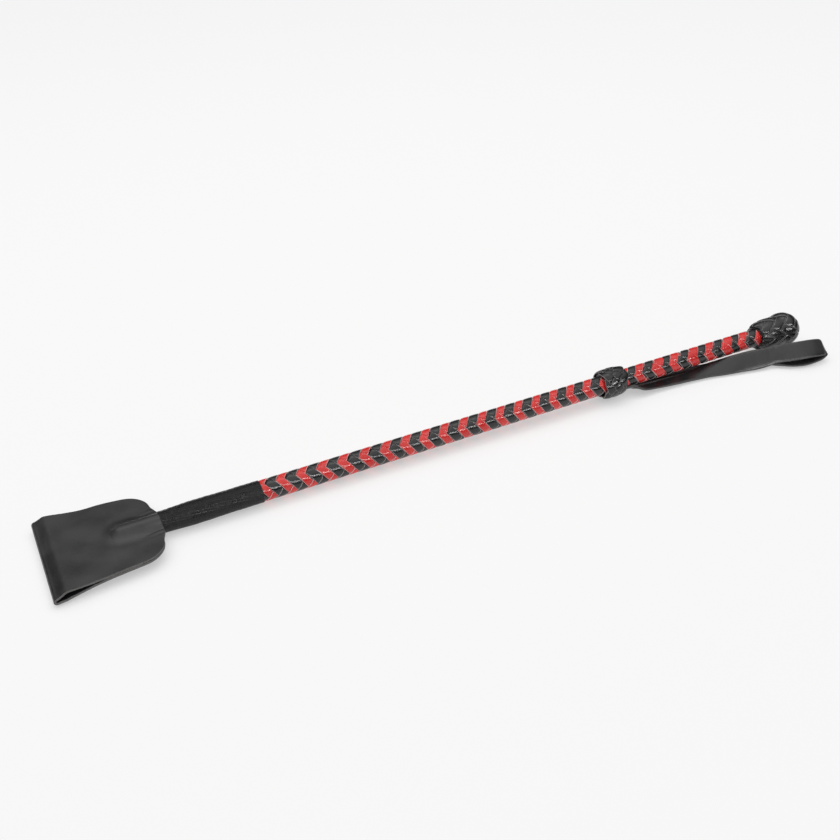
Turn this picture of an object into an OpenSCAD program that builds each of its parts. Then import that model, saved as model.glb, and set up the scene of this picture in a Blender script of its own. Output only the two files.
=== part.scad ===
// Riding crop: a braided rod with a folded leather flap at one end, a woven pommel at the
// other and a wrist strap held under a ring knot.
// X runs from the flap to the pommel, Z is up, and the crop lies on the plane z = 0 on its
// pommel and on the thick of the flap, so the rod slopes down a little towards the flap.
// Every place along the crop is a distance from the fold of the flap.

/* [Rod and braid] */
// Diameter of the core rod
rod_d = 8; // [7:0.5:9]
// Thickness of one braiding lace
lace_t = 1; // [0.8:0.1:1.1]
// Thickness of the black leather
leather_t = 1.4; // [1.2:0.1:1.5]
// Length from the fold of the flap to the end of the pommel
crop_l = 508; // [500:1:520]

/* [Flap] */
// Length of the flap, from its fold to the rod side
flap_l = 61; // [58:1:64]
// Half the width of the flap at the fold
flap_half_w = 32.3; // [28:0.1:32.4]
// How much each side draws in over one millimetre of length
flap_taper = 0.1; // [0.05:0.01:0.12]
// Radius of the corners beside the rod
shoulder_r = 12; // [8:1:13]
// Where the flap flexes, just past the end of the rod
flex_at = 34; // [32:0.5:34]
// Half the height of the open fold
fold_half_h = 2.9; // [2.6:0.1:3]

/* [Whipping] */
// Outer diameter of the thread whipping
whip_d = 13.2; // [13.2:0.1:14]
// Where the whipping stops on the braid
whip_end = 117; // [112:1:125]

/* [Ring knot] */
// Middle of the ring knot
ring_mid = 351.5; // [351:0.5:353]
// Length of the ring knot
ring_l = 16; // [15:1:17]
// Outer diameter of the ring knot
ring_d = 19; // [18:0.2:19.2]

/* [Pommel] */
// Diameter of the pommel
pommel_d = 23.4; // [22.4:0.2:24.4]
// Where the woven cover of the pommel starts on the handle
pommel_at = 472; // [468:1:473]

/* [Wrist strap] */
// Thickness of the strap
strap_t = 1.2; // [1:0.1:1.2]

/* [Hidden] */
$fn = 64;
ARC_STEPS = 12;

overall_l = 514;                  // fold of the flap to the end of the strap's loop
rod_r = rod_d / 2;
inner_braid_r = rod_r + lace_t;
braid_r = rod_r + 2 * lace_t;
sleeve_r = rod_r + leather_t;     // flap leather wrapped round the rod
whip_r = whip_d / 2;
ring_r = ring_d / 2;
pommel_r = pommel_d / 2;
ball_at = crop_l - pommel_r;

tip_ball_at = flex_at + 7;        // centre of the rod's rounded tip
flex_gap = 0.5;                   // room between the two parts of the flap
end_bow = 1.4;                    // the rod end of the flap bows out this far
end_half_w = 5;                   // half the straight part of that end
sleeve_end = 102;                 // the flap's tongue ends here under the whipping
braid_start = 106;
braid_end = 478;
rod_end = 494;

binding_t = 0.8;                  // one thread layer
knot_lace_t = 1.8;                // the pommel's woven cover, two laces deep
core_ball_r = pommel_r - knot_lace_t;
collar_neck_r = braid_r + 0.9;
cover_neck_r = collar_neck_r + 0.7;
collar_at = pommel_at + 1;
butt_binding_from = collar_at + 2;
nail_r = 0.8;
nail_head_r = 2;
nail_head_t = 0.6;
nail_sunk = 0.4;                  // the nail's head lies this far below the ball's end
nail_tip_at = 482;
ball_meet = 0.42;                 // the neck's cone meets a ball this share of its radius back
collar_meet = 0.62;               // the collar stops this share of that radius back
cover_gap = 0.04;

tab_t = 1.3;                      // strap ends and filler beside them
tab_r = braid_r + tab_t;
ring_inner_r = tab_r + 0.6;       // over the thread that ties the strap ends
ring_lip_r = tab_r + 0.1;
strap_binding_l = 12;
tab_span = 56;                    // degrees of the rod that one strap end covers
near_tab_turn = -135;
far_tab_turn = -72;
tab_from = ring_mid - 7;
tab_to = 365.5;                   // the swinging part of the strap starts past here
filler_to = ring_mid + ring_l / 2 - 1;

// The rod's slope: the pommel and the leather at the rod's tip both touch z = 0
lie_angle = asin((pommel_r - sleeve_r) / (ball_at - tip_ball_at));
flex_height = pommel_r - (ball_at - flex_at) * sin(lie_angle);
// The flap droops until the underside of its fold nearly touches z = 0
fold_clear = 0.05;
droop_angle = asin((flex_height - fold_half_h - fold_clear) / (flex_at - fold_half_h)) - lie_angle;

black = [0.07, 0.07, 0.075];
red = [0.72, 0.06, 0.05];
thread_black = [0.04, 0.04, 0.045];

// Places a distance from the fold on the row's X axis
function along(d) = d - overall_l / 2;

// Lays parts that are drawn round a level X axis down on their slope
module laid() {
    translate([along(ball_at), 0, pommel_r])
        rotate([0, -lie_angle, 0])
            translate([-along(ball_at), 0, 0])
                children();
}

// Turns a profile of [radius, distance] round the crop's axis
module turned(from) {
    translate([along(from), 0, 0])
        rotate([0, 90, 0])
            rotate_extrude()
                children();
}

module rod_piece(from, to, r) {
    translate([along(from), 0, 0])
        rotate([0, 90, 0])
            cylinder(h = to - from, r = r);
}

module tube(from, to, inner_r, outer_r) {
    difference() {
        rod_piece(from, to, outer_r);
        rod_piece(from - 1, to + 1, inner_r);
    }
}

// Part of a tube, its middle turned round the axis: -90 is underneath
module tube_sector(from, to, inner_r, outer_r, middle, span) {
    translate([along(from), 0, 0])
        rotate([90, 0, 90])
            rotate([0, 0, middle - span / 2])
                rotate_extrude(angle = span)
                    translate([inner_r, 0])
                        square([outer_r - inner_r, to - from]);
}

module ball(at, r) {
    translate([along(at), 0, 0]) sphere(r = r);
}

// ---- rod ----

module nail_shape() {
    head_at = ball_at + core_ball_r - nail_sunk - nail_head_t;
    rod_piece(nail_tip_at, head_at + nail_head_t / 2, nail_r);
    rod_piece(head_at, head_at + nail_head_t, nail_head_r);
}

module core_shape() {
    rod_piece(tip_ball_at, rod_end, rod_r);
    ball(tip_ball_at, rod_r);
}

module core_rod() color([0.8, 0.78, 0.7]) laid() difference() {
    core_shape();
    nail_shape();
}

// ---- braid: four laces wind each way, and each tube here stands for one set of four ----

module right_hand_laces() color(black) laid()
    tube(braid_start, braid_end, rod_r, inner_braid_r);

module left_hand_laces() color(red) laid()
    tube(braid_start, braid_end, inner_braid_r, braid_r);

module tip_lace_binding() color(thread_black) laid()
    tube(sleeve_end, braid_start, rod_r, braid_r);

module butt_lace_binding() color(thread_black) laid()
    tube(butt_binding_from, braid_end, braid_r, braid_r + binding_t);

module tip_whipping() color(thread_black) laid() difference() {
    rod_piece(flap_l, whip_end, whip_r);
    rod_piece(flap_l - 1, sleeve_end, sleeve_r);
    rod_piece(sleeve_end - 1, whip_end + 1, braid_r);
}

// ---- flap ----

function flap_half(d) = flap_half_w - flap_taper * d;

// Outline of the flap between two distances from the fold, with rounded corners at the rod
module flap_outline(from, to) {
    corner_at = flap_l - end_bow - shoulder_r;
    corner_y = flap_half(corner_at) - shoulder_r;
    intersection() {
        union() {
            polygon([
                [along(-1), -flap_half(-1)], [along(corner_at), -flap_half(corner_at)],
                [along(corner_at), flap_half(corner_at)], [along(-1), flap_half(-1)]
            ]);
            polygon([
                [along(corner_at) - 1, -corner_y], [along(corner_at + shoulder_r), -corner_y],
                [along(flap_l), -end_half_w], [along(flap_l), end_half_w],
                [along(corner_at + shoulder_r), corner_y], [along(corner_at) - 1, corner_y]
            ]);
            for (side = [-1, 1])
                translate([along(corner_at), side * corner_y])
                    circle(r = shoulder_r);
        }
        translate([along(from), -flap_half_w - 1])
            square([to - from, 2 * flap_half_w + 2]);
    }
}

// The part of the flap that is wrapped round the rod and held by the whipping
module flap_root() color(black) laid() difference() {
    union() {
        rod_piece(tip_ball_at, sleeve_end, sleeve_r);
        ball(tip_ball_at, sleeve_r);
        translate([0, 0, -leather_t])
            linear_extrude(height = 2 * leather_t)
                flap_outline(flex_at + leather_t + flex_gap, flap_l);
    }
    core_shape();
}

// Points of an arc, round a centre on the section's middle line
function arc(centre_x, r, from, to) = [
    for (k = [0:ARC_STEPS])
        let (a = from + (to - from) * k / ARC_STEPS)
            [centre_x + r * cos(a), r * sin(a)]
];

// Side view of a wedge with round ends: radius start_r at start_x, end_r at end_x to its left
module wedge_section(start_x, start_r, end_x, end_r) {
    lean = asin((end_r - start_r) / (start_x - end_x));
    polygon(concat(arc(end_x, end_r, 90 - lean, 270 + lean),
                   arc(start_x, start_r, -90 + lean, 90 - lean)));
}

// Two leaves that part towards an open fold
module fold_section() {
    fold_x = fold_half_h - flex_at;
    parting_x = -12;              // the leaves lie together from here to the rod
    parting_r = 0.1;
    difference() {
        wedge_section(0, leather_t, fold_x, fold_half_h);
        wedge_section(parting_x, parting_r, fold_x, fold_half_h - leather_t);
    }
}

// The free part of the flap, folded double, which flexes about the end of the rod
module flap_blade() color(black) laid()
    translate([along(flex_at), 0, 0])
        rotate([0, -droop_angle, 0])
            intersection() {
                rotate([90, 0, 0])
                    linear_extrude(height = 2 * flap_half_w + 2, center = true)
                        fold_section();
                translate([-along(flex_at), 0, -fold_half_h - 1])
                    linear_extrude(height = 2 * fold_half_h + 2)
                        flap_outline(-1, flex_at + leather_t);
            }

// ---- ring knot and what it holds ----

module strap_tabs() color(black) laid()
    for (turn = [near_tab_turn, far_tab_turn])
        tube_sector(tab_from, tab_to, braid_r, tab_r, turn, tab_span);

module ring_filler() color(black) laid() {
    open_from = near_tab_turn - tab_span / 2 - 2;
    open_to = far_tab_turn + tab_span / 2 + 2;
    tube_sector(tab_from, filler_to, braid_r, tab_r, (open_from + open_to) / 2 + 180,
                360 - (open_to - open_from));
}

module strap_binding() color(thread_black) laid()
    tube(ring_mid - strap_binding_l / 2, ring_mid + strap_binding_l / 2, tab_r, ring_inner_r);

// A barrel with rounded sides, hollow over the thread
module ring_knot() color(black) laid() {
    half_l = ring_l / 2;
    end_r = ring_lip_r + 0.5;
    hollow = strap_binding_l / 2;
    turned(ring_mid)
        polygon(concat(
            [for (k = [0:ARC_STEPS])
                let (a = -90 + 180 * k / ARC_STEPS)
                    [end_r + (ring_r - end_r) * cos(a), half_l * sin(a)]],
            [[ring_lip_r, half_l], [ring_lip_r, hollow], [ring_inner_r, hollow],
             [ring_inner_r, -hollow], [ring_lip_r, -hollow], [ring_lip_r, -half_l]]
        ));
}

// ---- pommel ----

// Radius of the ball where the cone meets it
function meet_r(ball_r) = ball_r * sqrt(1 - ball_meet * ball_meet);

// Side of a ball with a neck, from the neck to the ball's far end, as [radius, distance]
function acorn_side(from, neck_r, ball_r) = concat(
    [[neck_r, from]],
    [for (k = [0:ARC_STEPS])
        let (a = acos(ball_meet) + (180 - acos(ball_meet)) * k / ARC_STEPS)
            [ball_r * sin(a), ball_at - ball_r * cos(a)]]
);

function backwards(list) = [for (i = [len(list) - 1:-1:0]) list[i]];

module pommel_core() color([0.72, 0.55, 0.35]) laid() difference() {
    ball(ball_at, core_ball_r);
    rod_piece(ball_at - 2 * core_ball_r, rod_end, rod_r);
    nail_shape();
    rod_piece(ball_at + core_ball_r - nail_sunk - nail_head_t, ball_at + 2 * core_ball_r,
              nail_head_r);
}

module pommel_nail() color("silver") laid() nail_shape();

module pommel_collar() color(black) laid() difference() {
    collar_l = ball_at - collar_meet * core_ball_r - collar_at;
    cone_l = ball_at - ball_meet * core_ball_r - collar_at;
    translate([along(collar_at), 0, 0])
        rotate([0, 90, 0])
            cylinder(h = collar_l, r1 = collar_neck_r,
                     r2 = collar_neck_r + (meet_r(core_ball_r) - collar_neck_r) * collar_l / cone_l);
    ball(ball_at, core_ball_r);
    rod_piece(pommel_at, rod_end, rod_r);
    rod_piece(pommel_at, braid_end, braid_r);
    rod_piece(butt_binding_from, braid_end, braid_r + binding_t);
}

module pommel_knot() color(black) laid()
    turned(0)
        polygon(concat(
            acorn_side(pommel_at, cover_neck_r, pommel_r),
            backwards(acorn_side(collar_at, collar_neck_r, core_ball_r + cover_gap)),
            [[braid_r, collar_at], [braid_r, pommel_at]]
        ));

// ---- wrist strap ----

// Stations along the strap: distance from the fold, place of the lower edge [y, z],
// tilt of the strap's width above level, width
STRAP = [
    [366.2, -7.2, 7.4, -42, 6.8], [369.5, -9.4, 5.4, -24, 6.9], [374, -10.3, 3.6, -8, 7.0],
    [387, -10.6, 2.1, 0, 7.3], [400, -11.2, 1.3, 4, 7.8], [412, -12, 0.9, 9, 8.8],
    [425, -13.4, 0.8, 17, 11], [437, -16, 0.8, 25, 12.3], [448, -18.2, 0.8, 36, 13],
    [460, -20.6, 0.9, 41, 13], [468, -21.7, 1.6, 41, 12.6], [474, -22.8, 2.9, 38, 12.2],
    [479, -25.6, 4.4, 34, 12.8], [485, -28.8, 5.6, 32, 13], [491, -30.6, 6.1, 32, 13],
    [498, -31.6, 6, 32, 13], [505, -31.8, 5.2, 33, 13], [509.5, -31.5, 4.4, 33, 13],
    [512.4, -31, 3.4, 33, 13], [513.3, -30.7, 2.4, 32, 13], [512.4, -30.7, 1.4, 31, 13],
    [509.5, -30.9, 0.9, 28, 13], [503, -31.5, 0.75, 20, 13], [493, -31.6, 0.75, 13, 13],
    [484, -28.6, 0.75, 15, 13], [478, -25, 0.8, 24, 12.6], [473, -21.4, 0.85, 33, 12.4],
    [468, -19.9, 0.85, 36, 12.4], [460, -18.1, 0.85, 35, 12.4], [448, -15.2, 0.8, 21, 12],
    [437, -11.4, 0.8, 4, 11], [425, -7.2, 0.8, 0, 9.4], [412, -2.4, 0.8, 0, 8.4],
    [400, -2.6, 1.3, 0, 7.8], [387, -2.5, 2.2, 0, 7.3], [374, -2.1, 2.4, 1, 7.0],
    [369.5, -1.8, 2.3, 3, 6.9], [366.2, -1.2, 2.3, 5, 6.8]
];
STRAP_STEPS = 2;                  // rings for each station

function middle(s) = [
    along(s[0]), s[1] + cos(s[3]) * s[4] / 2, s[2] + sin(s[3]) * s[4] / 2
];

// A smooth curve through four neighbouring values
function smooth(a, b, c, d, u) =
    0.5 * (2 * b + (c - a) * u + (2 * a - 5 * b + 4 * c - d) * u * u
           + (3 * b - a - 3 * c + d) * u * u * u);

function at_station(list, i) = list[max(0, min(len(list) - 1, i))];

function smoothed(list) = [
    for (i = [0:len(list) - 2], k = [0:STRAP_STEPS - 1])
        smooth(at_station(list, i - 1), at_station(list, i), at_station(list, i + 1),
               at_station(list, i + 2), k / STRAP_STEPS),
    list[len(list) - 1]
];

function unit(v) = v / norm(v);

module wrist_strap() color(black) {
    centres = smoothed([for (s = STRAP) middle(s)]);
    tilts = smoothed([for (s = STRAP) s[3]]);
    widths = smoothed([for (s = STRAP) s[4]]);
    count = len(centres);
    rings = [
        for (i = [0:count - 1])
            let (run = unit(at_station(centres, i + 1) - at_station(centres, i - 1)),
                 lean = [0, cos(tilts[i]), sin(tilts[i])],
                 across = unit(lean - (lean * run) * run) * widths[i] / 2,
                 off = unit(cross(run, across)) * strap_t / 2)
                each [centres[i] - across - off, centres[i] + across - off,
                      centres[i] + across + off, centres[i] - across + off]
    ];
    walls = [
        for (i = [0:count - 2], k = [0:3])
            let (a = 4 * i + k, b = 4 * i + (k + 1) % 4)
                each [[a, b, b + 4], [a, b + 4, a + 4]]
    ];
    last = 4 * (count - 1);
    ends = [[3, 2, 1, 0], [last, last + 1, last + 2, last + 3]];
    polyhedron(points = rings, faces = concat(walls, ends), convexity = 10);
}

core_rod();
right_hand_laces();
left_hand_laces();
tip_lace_binding();
butt_lace_binding();
tip_whipping();
flap_root();
flap_blade();
strap_tabs();
ring_filler();
strap_binding();
ring_knot();
pommel_core();
pommel_nail();
pommel_collar();
pommel_knot();
wrist_strap();
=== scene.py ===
"""A riding crop with a red and black braid, a folded leather flap and a wrist strap.

Every place along the crop is a distance in millimetres from the fold of the flap, and every
place round it is an angle: 0 is across (+Y), 90 is up.
"""

import math

import bmesh
import bpy
import numpy as np
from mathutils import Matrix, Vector, noise


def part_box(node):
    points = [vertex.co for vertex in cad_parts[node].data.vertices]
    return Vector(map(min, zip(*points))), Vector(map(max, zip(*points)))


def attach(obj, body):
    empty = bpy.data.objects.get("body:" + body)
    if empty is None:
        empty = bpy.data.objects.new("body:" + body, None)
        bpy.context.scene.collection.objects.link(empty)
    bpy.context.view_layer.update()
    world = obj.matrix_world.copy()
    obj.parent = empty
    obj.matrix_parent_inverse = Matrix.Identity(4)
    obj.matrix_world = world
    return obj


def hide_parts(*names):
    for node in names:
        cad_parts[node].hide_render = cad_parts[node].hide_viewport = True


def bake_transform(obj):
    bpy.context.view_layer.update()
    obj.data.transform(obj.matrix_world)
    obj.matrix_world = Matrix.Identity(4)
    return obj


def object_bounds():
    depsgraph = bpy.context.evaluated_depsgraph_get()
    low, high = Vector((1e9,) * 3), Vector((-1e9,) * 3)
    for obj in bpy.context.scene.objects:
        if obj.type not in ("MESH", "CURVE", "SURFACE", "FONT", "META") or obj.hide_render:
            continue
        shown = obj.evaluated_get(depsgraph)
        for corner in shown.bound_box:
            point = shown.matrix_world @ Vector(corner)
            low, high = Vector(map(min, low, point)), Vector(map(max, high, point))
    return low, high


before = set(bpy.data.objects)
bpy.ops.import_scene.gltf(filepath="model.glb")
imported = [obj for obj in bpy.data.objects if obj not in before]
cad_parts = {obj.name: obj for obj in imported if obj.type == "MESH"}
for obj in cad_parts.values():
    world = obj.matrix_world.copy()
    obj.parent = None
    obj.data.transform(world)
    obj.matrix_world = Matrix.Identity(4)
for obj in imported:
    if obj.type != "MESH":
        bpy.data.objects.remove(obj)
cad_low, cad_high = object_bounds()

MM = 0.001

# Sizes of the crop, in millimetres
CROP_L = 508.0
ROD_R = 4.0
TIP_BALL_AT = 41.0
LEATHER_T = 1.4
FLEX_AT = 34.0
FLAP_L = 61.0
WHIP_END = 117.0
RING_MID = 351.5
RING_HALF_L = 8.0
RING_R = 9.5
POMMEL_AT = 472.0
POMMEL_NECK_R = 7.8

# ---- the crop's own axis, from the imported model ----

pommel_low, pommel_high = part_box("pommel_knot")
POMMEL_R = (pommel_high.z - pommel_low.z) / 2 / MM
BALL_AT = CROP_L - POMMEL_R
ball_centre = np.array([pommel_high.x / MM - POMMEL_R, 0, pommel_low.z / MM + POMMEL_R])
rod_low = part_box("core_rod")[0]
tip_centre = np.array([rod_low.x / MM + ROD_R, 0, rod_low.z / MM + ROD_R])
ALONG = (ball_centre - tip_centre) / np.linalg.norm(ball_centre - tip_centre)
UP = np.array([-ALONG[2], 0, ALONG[0]])
ACROSS = np.array([0, 1.0, 0])


def on_axis(d, y, h):
    """Points at distances d along the axis, y across it and h above it, in metres."""
    d, y, h = np.broadcast_arrays(d, y, h)
    place = ball_centre + (d - BALL_AT)[..., None] * ALONG
    place = place + y[..., None] * ACROSS + h[..., None] * UP
    return place * MM


def around(d, radius, turn):
    """Points round the axis; turn is in radians."""
    return on_axis(d, radius * np.cos(turn), radius * np.sin(turn))


def level_row(d):
    """X of a distance along the row, for stations that are given in level coordinates."""
    return ball_centre[0] - (BALL_AT - d)


# ---- helpers for shapes ----


def flowing(x, stations, values):
    """A smooth curve through the values at the stations."""
    stations = np.array(stations, float)
    values = np.array(values, float)
    slope = np.gradient(values, stations)
    k = np.clip(np.searchsorted(stations, x) - 1, 0, len(stations) - 2)
    gap = stations[k + 1] - stations[k]
    u = np.clip((x - stations[k]) / gap, 0, 1)
    start = (1 + 2 * u) * (1 - u) ** 2 * values[k] + u * (1 - u) ** 2 * gap * slope[k]
    end = u * u * (3 - 2 * u) * values[k + 1] + u * u * (u - 1) * gap * slope[k + 1]
    return start + end


def ease(low, high, x):
    """0 below low, 1 above high, smooth between; low may be the larger one."""
    u = np.clip((x - low) / (high - low), 0, 1)
    return u * u * (3 - 2 * u)


def unit(v):
    """The same directions with a length of 1."""
    return v / np.linalg.norm(v, axis=-1, keepdims=True)


NOISE_REACH = 1.6                 # brings the noise to about -1 to 1


def ripple(a, b, seed):
    """Smooth random values between about -1 and 1 at the places (a, b)."""
    a, b = np.broadcast_arrays(a, b)
    flat = [noise.noise(Vector((p, q, seed))) for p, q in zip(a.ravel(), b.ravel())]
    return np.array(flat).reshape(a.shape) * NOISE_REACH


def make_piece(name, points, faces, material, raw=None, lay=None):
    """A smooth mesh. raw marks cut edges from 0 to 1; lay is a place on the flat material."""
    mesh = bpy.data.meshes.new(name)
    mesh.from_pydata(points.reshape(-1, 3).tolist(), [], faces)
    bm = bmesh.new()
    bm.from_mesh(mesh)
    bmesh.ops.recalc_face_normals(bm, faces=bm.faces)
    bm.to_mesh(mesh)
    bm.free()
    mesh.polygons.foreach_set("use_smooth", [True] * len(mesh.polygons))
    if raw is not None:
        mesh.attributes.new("raw", "FLOAT", "POINT").data.foreach_set(
            "value", raw.astype(np.float32).ravel()
        )
    if lay is not None:
        mesh.attributes.new("lay", "FLOAT_VECTOR", "POINT").data.foreach_set(
            "vector", (lay * MM).astype(np.float32).ravel()
        )
    mesh.materials.append(material)
    piece = bpy.data.objects.new(name, mesh)
    bpy.context.scene.collection.objects.link(piece)
    return piece


def tube_faces(rings, points, looped):
    """Faces of a skin over rings of points; it is closed by end faces unless it is looped."""
    ring = np.arange(rings if looped else rings - 1)[:, None] * points
    k = np.arange(points)[None, :]
    total = rings * points
    a = ring + k
    b = ring + (k + 1) % points
    quads = np.stack([a, b, (b + points) % total, (a + points) % total], -1)
    faces = quads.reshape(-1, 4).tolist()
    if not looped:
        faces.append(list(range(points))[::-1])
        faces.append(list(range(total - points, total)))
    return faces


# A lace seen end on: (across, through), each from -1 to 1
LACE_SECTION = np.array(
    [
        (-0.92, 0.92), (-0.6, 1.0), (-0.2, 1.0), (0.2, 1.0), (0.6, 1.0), (0.92, 0.92),
        (1.0, 0.55), (1.0, -0.55), (0.9, -1.0), (-0.9, -1.0), (-1.0, -0.55), (-1.0, 0.55),
    ]
)
LACE_RAW = np.interp(np.abs(LACE_SECTION[:, 0]), [0.9, 1.0], [0.0, 1.0])


def lace_piece(name, points, distance, width, material, looped=False):
    """A flat lace from rings of points; distance is the length along it at each ring."""
    rings, count = points.shape[:2]
    lay = np.zeros((rings, count, 3))
    lay[..., 0] = distance[:, None]
    lay[..., 1] = LACE_SECTION[:, 0] * width[:, None] / 2
    lay[..., 2] = LACE_SECTION[:, 1]
    raw = np.broadcast_to(LACE_RAW, (rings, count))
    faces = tube_faces(rings, count, looped)
    return make_piece(name, points, faces, material, raw, lay)


def turned_piece(name, profile, steps, material):
    """A closed solid turned from a profile of (distance, radius) that runs round its section."""
    profile = np.array(profile, float)
    turn = np.linspace(0, 2 * math.pi, steps + 1)[:-1]
    points = around(profile[:, 0][None, :] + 0 * turn[:, None], profile[:, 1], turn[:, None])
    lay = np.zeros(points.shape)
    lay[..., 0] = profile[:, 0]
    lay[..., 1] = turn[:, None] * profile[:, 1]
    raw = np.zeros(points.shape[:2])
    faces = tube_faces(steps, len(profile), True)
    return make_piece(name, points, faces, material, raw, lay)


# ---- shared finish effects ----


def effect_group(name, inputs, outputs):
    """An empty shader node group with float inputs (name: default) and named outputs."""
    group = bpy.data.node_groups.new(name, "ShaderNodeTree")
    for label, default in inputs.items():
        socket = group.interface.new_socket(label, in_out="INPUT", socket_type="NodeSocketFloat")
        socket.default_value = default
    for label in outputs:
        group.interface.new_socket(label, in_out="OUTPUT", socket_type="NodeSocketFloat")
    return group, group.nodes.new("NodeGroupInput"), group.nodes.new("NodeGroupOutput")


def add_node(tree, kind, inputs=None, **settings):
    """A node with its settings; inputs are socket name or number: value or output socket."""
    node = tree.nodes.new("ShaderNode" + kind)
    for key, value in settings.items():
        setattr(node, key, value)
    for key, value in (inputs or {}).items():
        if isinstance(value, bpy.types.NodeSocket):
            tree.links.new(value, node.inputs[key])
        else:
            node.inputs[key].default_value = value
    return node


def arithmetic(tree, operation, a, b):
    """The result of one sum on numbers or output sockets."""
    return add_node(tree, "Math", {0: a, 1: b}, operation=operation).outputs[0]


def scaled_place(tree, source, scale):
    """Coordinates stretched by a scale for each direction."""
    return add_node(tree, "Mapping", {"Vector": source, "Scale": scale}).outputs[0]


def ramp(tree, value, low, high):
    """A smooth step of a value from low to high."""
    node = add_node(
        tree, "MapRange", {"Value": value, "From Min": low, "From Max": high},
        interpolation_type="SMOOTHSTEP",
    )
    return node.outputs["Result"]


def make_hide_grain():
    """Pores and fine wrinkles of leather, and the slow change of tone across a hide."""
    group, given, out = effect_group(
        "hide_grain", {"Pores": 900.0, "Patches": 60.0}, ["Height", "Patch"]
    )
    place = add_node(group, "TexCoord").outputs["Object"]
    pores = add_node(
        group, "TexVoronoi", {"Vector": place, "Scale": given.outputs["Pores"]},
        feature="F1",
    )
    wrinkles = add_node(
        group, "TexNoise",
        {"Vector": place, "Scale": given.outputs["Pores"], "Detail": 3.0, "Distortion": 0.6},
    )
    height = arithmetic(group, "ADD", pores.outputs["Distance"], wrinkles.outputs["Fac"])
    patches = add_node(
        group, "TexNoise",
        {"Vector": place, "Scale": given.outputs["Patches"], "Detail": 4.0, "Roughness": 0.6},
    )
    group.links.new(height, out.inputs["Height"])
    group.links.new(ramp(group, patches.outputs["Fac"], 0.3, 0.7), out.inputs["Patch"])
    return group


def make_cut_edge():
    """Where the dye stops at a cut edge, a little uneven."""
    group, given, out = effect_group("cut_edge", {"Dye": 0.12, "Fray": 0.25}, ["Bare"])
    raw = add_node(group, "Attribute", attribute_name="raw").outputs["Fac"]
    place = add_node(group, "TexCoord").outputs["Object"]
    fray = add_node(group, "TexNoise", {"Vector": place, "Scale": 700.0, "Detail": 2.0})
    uneven = arithmetic(group, "SUBTRACT", fray.outputs["Fac"], 0.5)
    shifted = arithmetic(group, "MULTIPLY", uneven, given.outputs["Fray"])
    start = arithmetic(group, "ADD", given.outputs["Dye"], shifted)
    end = arithmetic(group, "ADD", start, 0.25)
    group.links.new(ramp(group, raw, start, end), out.inputs["Bare"])
    return group


def make_pulled_fibre():
    """Fine streaks that run along a lace or a strap."""
    group, given, out = effect_group("pulled_fibre", {"Fineness": 1.0}, ["Streak"])
    lay = add_node(group, "Attribute", attribute_name="lay").outputs["Vector"]
    place = scaled_place(group, lay, (90.0, 2200.0, 1.0))
    streak = add_node(
        group, "TexNoise", {"Vector": place, "Scale": given.outputs["Fineness"], "Detail": 3.0}
    )
    group.links.new(streak.outputs["Fac"], out.inputs["Streak"])
    return group


HIDE_GRAIN = make_hide_grain()
CUT_EDGE = make_cut_edge()
PULLED_FIBRE = make_pulled_fibre()


def put_group(tree, group, values=None):
    """Places an effect in a material with its own values."""
    node = tree.nodes.new("ShaderNodeGroup")
    node.node_tree = group
    for label, value in (values or {}).items():
        node.inputs[label].default_value = value
    return node.outputs


def mixed_colour(tree, factor, a, b):
    """A mix of two colours, each a colour or an output socket."""
    node = tree.nodes.new("ShaderNodeMix")
    node.data_type = "RGBA"
    for socket, value in ((node.inputs[0], factor), (node.inputs[6], a), (node.inputs[7], b)):
        if isinstance(value, bpy.types.NodeSocket):
            tree.links.new(value, socket)
        else:
            socket.default_value = value
    return node.outputs[2]


def colour(r, g, b):
    """A colour with nothing see-through."""
    return (r, g, b, 1.0)


def mixed_value(tree, factor, a, b):
    """A mix of two numbers by a factor."""
    node = add_node(tree, "MapRange", {"Value": factor, "To Min": a, "To Max": b})
    return node.outputs["Result"]


def start_finish(name, **constants):
    """A material with constants set on its own shader; spaces in names are underscores."""
    material = bpy.data.materials.new(name)
    material.use_nodes = True
    tree = material.node_tree
    shader = tree.nodes["Principled BSDF"]
    for key, value in constants.items():
        shader.inputs[key.replace("_", " ")].default_value = value
    return material, tree, shader


def finish_surface(tree, shader, tone, roughness, height, depth):
    """Feeds colour, roughness and a bump of the given depth in metres to the shader."""
    bump = add_node(tree, "Bump", {"Height": height, "Distance": depth, "Strength": 1.0})
    tree.links.new(tone, shader.inputs["Base Color"])
    tree.links.new(roughness, shader.inputs["Roughness"])
    tree.links.new(bump.outputs["Normal"], shader.inputs["Normal"])


CUT_ROUGHNESS = 0.75              # of the bare leather at a cut edge


def leather_finish(name, dark, light, bare, pores, shine, depth, streak_share):
    """Dyed leather: grain, patches of tone, streaks along the cut and pale cut edges."""
    material, tree, shader = start_finish(name, Coat_Weight=0.0, IOR=1.5)
    grain = put_group(tree, HIDE_GRAIN, {"Pores": pores})
    edge = put_group(tree, CUT_EDGE)
    fibre = put_group(tree, PULLED_FIBRE)
    streaked = arithmetic(tree, "MULTIPLY", fibre["Streak"], streak_share)
    patched = arithmetic(tree, "MULTIPLY", grain["Patch"], 1 - streak_share)
    share = arithmetic(tree, "ADD", streaked, patched)
    dyed = mixed_colour(tree, share, dark, light)
    tone = mixed_colour(tree, edge["Bare"], dyed, bare)
    worn = mixed_value(tree, share, shine[0], shine[1])
    rough = arithmetic(tree, "MAXIMUM", worn, arithmetic(tree, "MULTIPLY", edge["Bare"], CUT_ROUGHNESS))
    fibre_height = arithmetic(tree, "MULTIPLY", fibre["Streak"], streak_share)
    height = arithmetic(tree, "ADD", grain["Height"], fibre_height)
    finish_surface(tree, shader, tone, rough, height, depth)
    return material


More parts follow.
